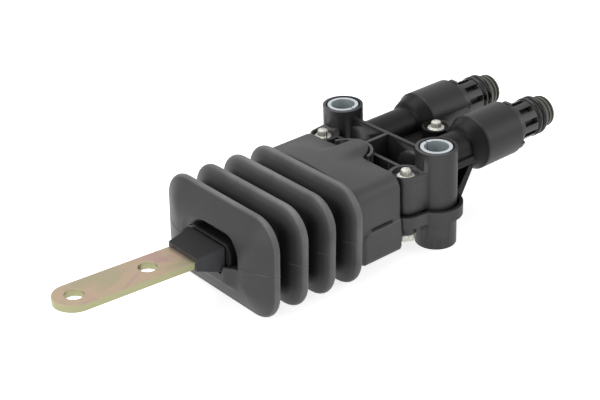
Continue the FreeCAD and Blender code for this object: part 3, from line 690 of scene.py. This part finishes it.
def cuffRings():
    # from the last fold back over the housing, round the rear edge and forward again inside
    section = cuffSection()
    places, outward = rearEdge()
    first = ringCounts["side"] + ringCounts["corner"]
    last = first + ringCounts["top"]
    radius = cuff["edgeRadius"]
    rings = []
    lastFold = foldRing(bellows["edgeRadius"])
    backX = bellows["lastFold"] + bellows["edgeRadius"]
    for share, out in neckSteps:
        ring = []
        for (y0, z0), (y1, z1) in zip(lastFold, section):
            start = lean(Vector((backX, y0, z0)))
            end = Vector((cuff["front"], y1, z1))
            ring.append(Vector((start.x + (end.x - start.x) * share, start.y + (end.y - start.y) * out,
                                start.z + (end.z - start.z) * out)))
        rings.append(ring)

    def skinRing(share, edgeBack, inset):
        # share of the way back, distance in from the back edge, depth below the outer skin
        ring = []
        for i, (y, z) in enumerate(section):
            place = Vector((places[i][0], places[i][1], 0)) - outward[i] * edgeBack
            x = cuff["front"] + (place.x - cuff["front"]) * share
            if first <= i <= last:
                y = y + (place.y - y) * share
                z = topHeight(x, y)
            ring.append(Vector((x, y, z)))
        normals = skinNormals(flatRing(0, section))
        lifted = []
        for i, point in enumerate(ring):
            up = Vector((0, 0, 1)) if first <= i <= last else normals[i]
            thick = inset * (1 + cuff["sole"] * max(-up.z, 0))
            lifted.append(point + up * (panelLift(point.x, point.y, point.z) * (inset <= radius) - thick))
        return lifted

    for i in range(cuff["steps"] + 1):
        rings.append(skinRing(i / cuff["steps"], radius, 0))
    for turn in (22.5, 45, 67.5, 90):
        a = math.radians(turn)
        rings.append(skinRing(1, radius * (1 - math.sin(a)), radius * (1 - math.cos(a))))
    wall, rounded = cuff["wall"], cuff["innerRound"]
    rings.append(skinRing(1, 0, wall - rounded))
    for share in (1, 0.6, 0.06):
        rings.append(skinRing(share, rounded, wall))
    return rings


def innerStations():
    # (x, inset) along the inside, from the last fold to the front one
    wall, depth = bellows["wall"], bellows["valleyDepth"]
    valley, edge = bellows["pitch"] / 2 - bellows["innerRound"], bellows["innerEdge"]
    crest = wall + bellows["innerInset"]
    stations = []
    for fold in range(bellows["folds"]):
        x = bellows["lastFold"] - fold * bellows["pitch"]
        stations += [(x + valley, depth + wall), (x + edge, crest), (x - edge, crest),
                     (x - valley, depth + wall)]
    # neither the cuff's end nor the plate's has a valley
    return stations[1:-1]


def foldPoints(x, inset):
    # a ring of the folds, with the parting line that fades out on the way down into the valley
    ring = flatRing(x, foldRing(inset))
    near, far = flashIndexes()
    ridge = bellows["flash"] * easeDown(*bellows["flashFade"], inset)
    ring[near].y -= ridge
    ring[far].y += ridge
    return [lean(point) for point in ring]


def bellowsRings():
    # (ring, dusting of each point against painted shade, rubbing with painted highlight) from the bore
    # over the outside and back along the inside
    rings = []
    for ring, share in frontRings():
        # the pocket's open far corner is painted less shaded
        unshadedDust = [max(share, bellows["plateUnshadedDust"] * pocketOpen(point.y, point.z)) for point in ring]
        rings.append(([lean(point) for point in ring], unshadedDust, 0))
    count = len(rings[0][0])
    for x, inset, rubbedAndLit in foldStations():
        # painted shade deepens down into each valley
        unshadedDust = easeDown(*bellows["foldShadeSpan"], inset)
        rings.append((foldPoints(x, inset), [unshadedDust] * count, rubbedAndLit))
    for number, ring in enumerate(cuffRings()):
        # painted shadow of the last fold on the cuff, giving way to dusting a few rings further back
        rings.append((ring, [min(number * cuff["shadowFadeStep"], 1)] * count, 0))
    inside = [flatRing(x, foldRing(inset)) for x, inset in innerStations()]
    inside.append(flatRing(bellows["plateFace"] + pocket["depth"] + bellows["wall"],
                           foldRing(bellows["innerEnd"])))
    inside.append(flatRing(bellows["plateFace"] + sleeve["length"], sleeveRing(0)))
    # the inside is painted fully in the shade colour
    rings += [([lean(point) for point in ring], [0] * count, 0) for ring in inside]
    return rings + [(rings[0][0], [0] * count, 0)]


def grownFrom(vert, fresh):
    # the new vertex that was extruded from this one
    return next(edge.other_vert(vert) for edge in vert.link_edges if edge.other_vert(vert) in fresh)


def buildBellows():
    rings = bellowsRings()
    bm = bmesh.new()
    # per point: rubbing with a painted highlight, and dusting against painted shade
    lighterTone = bm.verts.layers.float.new("foldWearAndHighlight")
    dustAndShade = bm.verts.layers.float.new("dustAndShadeShare")
    current = bmesh.ops.create_circle(bm, segments=len(rings[0][0]), radius=1)["verts"]
    edges = list(bm.edges)
    for number, (ring, unshadedDust, wearAndHighlight) in enumerate(rings):
        if number:
            grown = bmesh.ops.extrude_edge_only(bm, edges=edges)["geom"]
            fresh = {item for item in grown if isinstance(item, bmesh.types.BMVert)}
            edges = [item for item in grown
                     if isinstance(item, bmesh.types.BMEdge) and fresh.issuperset(item.verts)]
            current = [grownFrom(vert, fresh) for vert in current]
        for vert, place, share in zip(current, ring, unshadedDust):
            vert.co = place
            vert[lighterTone] = wearAndHighlight
            vert[dustAndShade] = share
        # the parting line shows rubbing, with a painted highlight, wherever the skin is open
        seam = bellows["seamWearAndHighlight"] * min(unshadedDust[-1] * 4, 1) if number else 0
        for spot in flashIndexes():
            current[spot][lighterTone] = max(wearAndHighlight, seam)
    bmesh.ops.remove_doubles(bm, verts=bm.verts, dist=0.002)
    bmesh.ops.recalc_face_normals(bm, faces=bm.faces)
    return bm


bootPiece = newPiece("rubberBellows", buildBellows(), None, bootRubber, 60)
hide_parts("boot")
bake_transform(bootPiece)
print("bellows:", len(bootPiece.data.polygons), "faces")


# moulded housing, with the ribs and pockets of the photo cut into copies of the CAD solids

housing = {
    "screw": (-12.5, 22.4), "boss": (0.0, 25.0), "tower": (-20.3, 0.0), "bossRadius": 7.56,
    "towerRadius": 9.52, "ringRadius": 6.36, "wallTop": 31.01, "above": 36.0, "floor": 20.01,
    "seat": 29.5, "seatTop": 30.71, "seatRadius": 4.88, "rimInner": 3.9, "rimOuter": 4.7, "rimFoot": 28.5,
    "rimTop": 31.03, "webRadius": 4.85, "webEnd": ((-6.9, 27.82), (-6.9, 26.0)),
    "oldRib": (-16.34, -15.6, -14.86), "ribX": -10.5, "ribHalf": 0.7, "ribEnd": 17.0, "ribTop": 31.1,
    "lipLow": 11.69, "below": -1.0, "columnRadius": 3.9, "sideY": 21.2, "noseBack": -18.3,
    "bushGap": 6.45, "gapFloor": 36.4, "gapTop": 39.0,
}


def prism(bm, outline, low, high):
    # an upright block on an outline in plan
    verts = bmesh.ops.create_circle(bm, cap_ends=True, segments=len(outline), radius=1)["verts"]
    for vert, (x, y) in zip(verts, outline):
        vert.co = (x, y, low)
    grown = bmesh.ops.extrude_face_region(bm, geom=[verts[0].link_faces[0]])["geom"]
    roof = [item for item in grown if isinstance(item, bmesh.types.BMVert)]
    bmesh.ops.translate(bm, verts=roof, vec=(0, 0, high - low))


def arcPoints(centre, radius, start, end, count):
    # points in plan on an arc from start to end, both in degrees
    turns = [math.radians(start + (end - start) * i / count) for i in range(count + 1)]
    return [(centre[0] + radius * math.cos(turn), centre[1] + radius * math.sin(turn)) for turn in turns]


def ringOutline():
    # round the screw's pocket, but never into the mounting boss
    points = []
    for point in arcPoints(housing["screw"], housing["ringRadius"], 0, 352.5, 47):
        away = Vector(point) - Vector(housing["boss"])
        if away.length < housing["bossRadius"]:
            away *= housing["bossRadius"] / away.length
        points.append(tuple(Vector(housing["boss"]) + away))
    return points


def seatOutline():
    # the screw's seat is sunk, but not under the wall on its outer side
    points = arcPoints(housing["screw"], housing["seatRadius"], 190, 418, 30)
    return points + arcPoints(housing["screw"], housing["rimInner"], 66, 182, 18)


def oldRibOutline():
    # the CAD's cross rib, between the valve tower and the screw's ring
    near, far = [], []
    for x in housing["oldRib"]:
        across = x - housing["tower"][0]
        near.append((x, math.sqrt(housing["towerRadius"] ** 2 - across ** 2)))
        across = x - housing["screw"][0]
        far.append((x, housing["screw"][1] - math.sqrt(housing["ringRadius"] ** 2 - across ** 2)))
    return near + far[::-1]


def underLipOutline():
    # everything outside the tray's side, less the screw column and the boss
    side = housing["sideY"]
    points = [(housing["noseBack"], side)]
    for name, radius in (("screw", housing["columnRadius"]), ("boss", housing["bossRadius"])):
        centre = housing[name]
        drop = math.degrees(math.asin((side - centre[1]) / radius))
        points += arcPoints(centre, radius, 180 - drop, drop, 72)
    reach = housing["boss"][1] + 2 * housing["bossRadius"]
    return points + [(reach / 2, side), (reach / 2, reach), (housing["noseBack"], reach)]


def nodeCopy(source):
    # a CAD solid's mesh, merged and in millimetres
    bm = bmesh.new()
    bm.from_mesh(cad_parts[source].data)
    bmesh.ops.scale(bm, vec=Vector((1 / mm, 1 / mm, 1 / mm)), verts=bm.verts)
    bmesh.ops.remove_doubles(bm, verts=bm.verts, dist=0.001)
    return bm


def workObject(bm):
    # a passing object for the Boolean cuts
    mesh = bpy.data.meshes.new("work")
    bm.to_mesh(mesh)
    bm.free()
    item = bpy.data.objects.new("work", mesh)
    bpy.context.scene.collection.objects.link(item)
    return item


def carved(source, cuts):
    # a copy of a CAD solid, less the blocks on both sides
    solid = workObject(nodeCopy(source))
    tools = []
    for outline, low, high in cuts:
        tool = bmesh.new()
        for side in (-1, 1):
            prism(tool, [(x, side * y) for x, y in outline], low, high)
        bmesh.ops.recalc_face_normals(tool, faces=tool.faces)
        tools.append(workObject(tool))
        cut = solid.modifiers.new("cut", "BOOLEAN")
        cut.operation = "DIFFERENCE"
        cut.solver = "EXACT"
        cut.object = tools[-1]
    result = bmesh.new()
    result.from_object(solid, bpy.context.evaluated_depsgraph_get())
    for item in [solid] + tools:
        mesh = item.data
        bpy.data.objects.remove(item)
        bpy.data.meshes.remove(mesh)
    return result


def rimOutline():
    # low wall on the screw's outer side, which runs on to the mounting boss
    wall = arcPoints(housing["screw"], housing["rimOuter"], 178, 90, 14) + list(housing["webEnd"])
    wall += arcPoints(housing["screw"], housing["webRadius"], 36, 64, 6)
    return wall + arcPoints(housing["screw"], housing["rimInner"], 66, 178, 18)


def buildUpperHousing():
    # lowers the screw pockets' walls and the screws' seats, moves the cross rib, frees the bushes' tops
    above = housing["above"]
    gap = arcPoints(housing["boss"], housing["bushGap"], 0, 354, 59)
    bm = carved("upper_housing", ((ringOutline(), housing["wallTop"], above),
                                  (oldRibOutline(), housing["floor"], above),
                                  (seatOutline(), housing["seat"], housing["seatTop"]),
                                  (gap, housing["gapFloor"], housing["gapTop"])))
    front, back = housing["ribX"] - housing["ribHalf"], housing["ribX"] + housing["ribHalf"]
    end = housing["ribEnd"]
    rib = [(front, -end), (back, -end), (back, end), (front, end)]
    prism(bm, rib, housing["floor"], housing["ribTop"])
    for side in (-1, 1):
        prism(bm, [(x, side * y) for x, y in rimOutline()], housing["rimFoot"], housing["rimTop"])
    bmesh.ops.recalc_face_normals(bm, faces=bm.faces)
    return bm


upperPiece = newPiece("ribbedUpperHousing", buildUpperHousing(), "housing",
                      housingNylon, 18)
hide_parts("upper_housing")
lowerMesh = carved("lower_housing", ((underLipOutline(), housing["below"], housing["lipLow"]),))
lowerPiece = newPiece("lippedLowerHousing", lowerMesh, "housing", housingNylon, 18)
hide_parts("lower_housing")
print("housing:", len(upperPiece.data.polygons) + len(lowerPiece.data.polygons), "faces")


# valve spring: a copy of the CAD coil, with its top under the cap where the CAD places it

springPiece = newPiece("valveSpringCoil", nodeCopy("valve_spring"), None, pinSteel, 40)
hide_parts("valve_spring")
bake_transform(springPiece)
print("valve spring:", len(springPiece.data.polygons), "faces")


# housing screws and nuts

# x, y, height of the seat, height of the nut's seat
screwPlaces = ((-12.5, -22.4, 29.5, 7.6), (-12.5, 22.4, 29.5, 7.6), (24.7, 0.0, 28.1, 19.8))
screwShape = {
    "head": 2.1, "neck": 1.95, "headHeight": 3.1, "lobes": 12, "lobeDepth": 0.28, "lobeFoot": (0.7, 0.9),
    "lobeTop": (1.1, 1.5), "flange": 3.2, "shank": 2.0, "turns": 96, "nutRadius": 4.0, "nutHeight": 2.8,
    "nutChamfer": 0.4, "tip": 0.4,
}


def mergeInto(bm, made):
    # adds a finished small mesh to the piece that gathers its repeats
    mesh = bpy.data.meshes.new("part")
    made.to_mesh(mesh)
    made.free()
    bm.from_mesh(mesh)
    bpy.data.meshes.remove(mesh)


def screwProfile(tip):
    # (radius, height over the seat) from the tip up the shank, round the flange and over the head
    head, shank, flange = screwShape["head"], screwShape["shank"], screwShape["flange"]
    top = screwShape["headHeight"]
    return [(0, tip), (shank - 0.3, tip), (shank, tip + 0.3), (shank, 0), (flange - 0.15, 0),
            (flange, 0.12), (flange, 0.35), (flange - 0.12, 0.5), (2.6, 0.6), (head + 0.1, 0.72),
            (head, 0.85), (screwShape["neck"], 2.2), (1.88, 2.6), (1.74, 2.85), (1.5, 3.0),
            (1.2, top - 0.03), (0, top)]


def addScrew(bm, x, y, seat, low):
    made = bmesh.new()
    tip = low - screwShape["nutHeight"] - screwShape["tip"] - seat
    verts = [made.verts.new((r, 0, z)) for r, z in screwProfile(tip)]
    edges = [made.edges.new(pair) for pair in zip(verts, verts[1:])]
    bmesh.ops.spin(made, geom=verts + edges, axis=(0, 0, 1), cent=(0, 0, 0), angle=2 * math.pi,
                   steps=screwShape["turns"], use_merge=True)
    bmesh.ops.remove_doubles(made, verts=made.verts, dist=0.001)
    # the outside drive: lobes that start over the flange and fade out on the flat top
    lobe = screwShape["lobeDepth"] / screwShape["head"]
    for vert in made.verts:
        turn = math.atan2(vert.co.y, vert.co.x) * screwShape["lobes"]
        lobed = easeStep(*screwShape["lobeFoot"], vert.co.z)
        lobed *= easeStep(*screwShape["lobeTop"], vert.co.xy.length)
        vert.co.xy = vert.co.xy * (1 - lobed * lobe * (0.5 - 0.5 * math.cos(turn)))
    bmesh.ops.recalc_face_normals(made, faces=made.faces)
    # each screw stops at a turn of its own
    bmesh.ops.rotate(made, verts=made.verts, cent=(0, 0, 0), matrix=Matrix.Rotation(x + y, 3, "Z"))
    bmesh.ops.translate(made, verts=made.verts, vec=(x, y, seat))
    mergeInto(bm, made)


def addNut(bm, x, y, low):
    made = bmesh.new()
    radius, chamfer = screwShape["nutRadius"], screwShape["nutChamfer"]
    verts = bmesh.ops.create_circle(made, cap_ends=True, segments=6, radius=radius)["verts"]
    sides = bmesh.ops.extrude_face_region(made, geom=[verts[0].link_faces[0]])["geom"]
    foot = [item for item in sides if isinstance(item, bmesh.types.BMVert)]
    bmesh.ops.translate(made, verts=foot, vec=(0, 0, 2 * chamfer - screwShape["nutHeight"]))
    for cap in [face for face in made.faces if len(face.verts) == 6]:
        rise = chamfer if cap.calc_center_median().z > -0.1 else -chamfer
        bmesh.ops.inset_region(made, faces=[cap], thickness=chamfer, depth=0)
        bmesh.ops.translate(made, verts=list(cap.verts), vec=(0, 0, rise))
    bmesh.ops.recalc_face_normals(made, faces=made.faces)
    bmesh.ops.translate(made, verts=made.verts, vec=(x, y, low - chamfer))
    mergeInto(bm, made)


screwMesh = bmesh.new()
for x, y, seat, low in screwPlaces:
    addScrew(screwMesh, x, y, seat, low)
screwPiece = newPiece("flangeScrews", screwMesh, "housing", screwZinc, 35)
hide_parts("housing_screws")

nutMesh = bmesh.new()
for x, y, seat, low in screwPlaces:
    addNut(nutMesh, x, y, low)
nutPiece = newPiece("flangeNuts", nutMesh, "housing", screwZinc, 25)
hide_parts("housing_nuts")
print("screws with an outside drive, and their nuts")


# studio

floorLevel = cadBox[0][2] - 0.3 * mm
# the camera in metres and degrees, fitted to the photo; the rest is the light
studio = {"camera": (-0.31674, -0.34045, 0.26024), "lens": 84.29, "heading": -38.8233, "pitch": 61.4644,
          "roll": -2.34076, "floorHalf": 4, "floorGlow": 0.78, "fill": 0.3}
# place, what it points at and size, in metres, and power in watts
lamps = {
    "overheadSoftbox": ((-0.15, 0.25, 0.9), (-0.02, 0, 0.02), (0.9, 0.7), 6.0),
    "leftSoftbox": ((-0.8, -0.1, 0.35), (-0.03, 0, 0.02), (0.5, 0.5), 2.2),
    "frontSoftbox": ((0.55, -0.75, 0.45), (-0.03, 0, 0.02), (0.6, 0.6), 2.2),
}


def whiteRays(tree):
    # 1 for the rays that see the white backdrop, 0 for the ones that light the valve
    rays = addNode(tree, "LightPath")
    seen = rays.outputs["Is Camera Ray"]
    for kind in ("Is Glossy Ray", "Is Transmission Ray"):
        either = addNode(tree, "Math", {"operation": "MAXIMUM"}, {0: seen, 1: rays.outputs[kind]})
        seen = either.outputs["Value"]
    return seen


def makeFloor():
    # pale paper that takes the valve's shadow and glows towards the camera
    floor = bmesh.new()
    bmesh.ops.create_grid(floor, x_segments=1, y_segments=1, size=studio["floorHalf"])
    mesh = bpy.data.meshes.new("studioFloor")
    floor.to_mesh(mesh)
    floor.free()
    mesh.transform(Matrix.Translation((0, 0, floorLevel)))
    sheet = bpy.data.objects.new("studioFloor", mesh)
    bpy.context.scene.collection.objects.link(sheet)
    paper, tree, shader = newFinish("paleStudioPaper", Base_Color=linear("#e9e9e9"), Roughness=1)
    shader.inputs["Specular IOR Level"].default_value = 0
    glow = addNode(tree, "Emission", {"Strength": studio["floorGlow"]})
    dark = addNode(tree, "Emission", {"Strength": 0})
    pick = addNode(tree, "MixShader", links={0: whiteRays(tree), 1: dark.outputs[0], 2: glow.outputs[0]})
    both = addNode(tree, "AddShader", links={0: shader.outputs[0], 1: pick.outputs[0]})
    tree.links.new(both.outputs[0], tree.nodes["Material Output"].inputs["Surface"])
    mesh.materials.append(paper)


def makeBackdrop():
    world = bpy.data.worlds.new("studioWhite")
    bpy.context.scene.world = world
    world.use_nodes = True
    tree = world.node_tree
    soft = tree.nodes["Background"]
    soft.inputs["Color"].default_value = (1, 1, 1, 1)
    soft.inputs["Strength"].default_value = studio["fill"]
    white = addNode(tree, "Background", {"Color": (1, 1, 1, 1), "Strength": 1})
    pick = addNode(tree, "MixShader", links={0: whiteRays(tree), 1: soft.outputs[0], 2: white.outputs[0]})
    tree.links.new(pick.outputs[0], tree.nodes["World Output"].inputs["Surface"])


def addLamp(name, place, target, size, power):
    data = bpy.data.lights.new(name, "AREA")
    data.shape = "RECTANGLE"
    data.size, data.size_y = size
    data.energy = power
    lamp = bpy.data.objects.new(name, data)
    lamp.location = place
    lamp.rotation_euler = (Vector(target) - Vector(place)).to_track_quat("-Z", "Y").to_euler()
    bpy.context.scene.collection.objects.link(lamp)


makeFloor()
makeBackdrop()
for name, (place, target, size, power) in lamps.items():
    addLamp(name, place, target, size, power)

cameraData = bpy.data.cameras.new("photoCamera")
cameraData.lens = studio["lens"]
cameraData.sensor_width = 36
photoCamera = bpy.data.objects.new("photoCamera", cameraData)
heading, pitch, roll = (math.radians(studio[key]) for key in ("heading", "pitch", "roll"))
photoCamera.matrix_world = (Matrix.Translation(studio["camera"]) @ Matrix.Rotation(heading, 4, "Z")
                            @ Matrix.Rotation(pitch, 4, "X") @ Matrix.Rotation(roll, 4, "Z"))
bpy.context.scene.collection.objects.link(photoCamera)
bpy.context.scene.camera = photoCamera
bpy.context.scene.view_settings.view_transform = "Standard"
print("studio and camera")
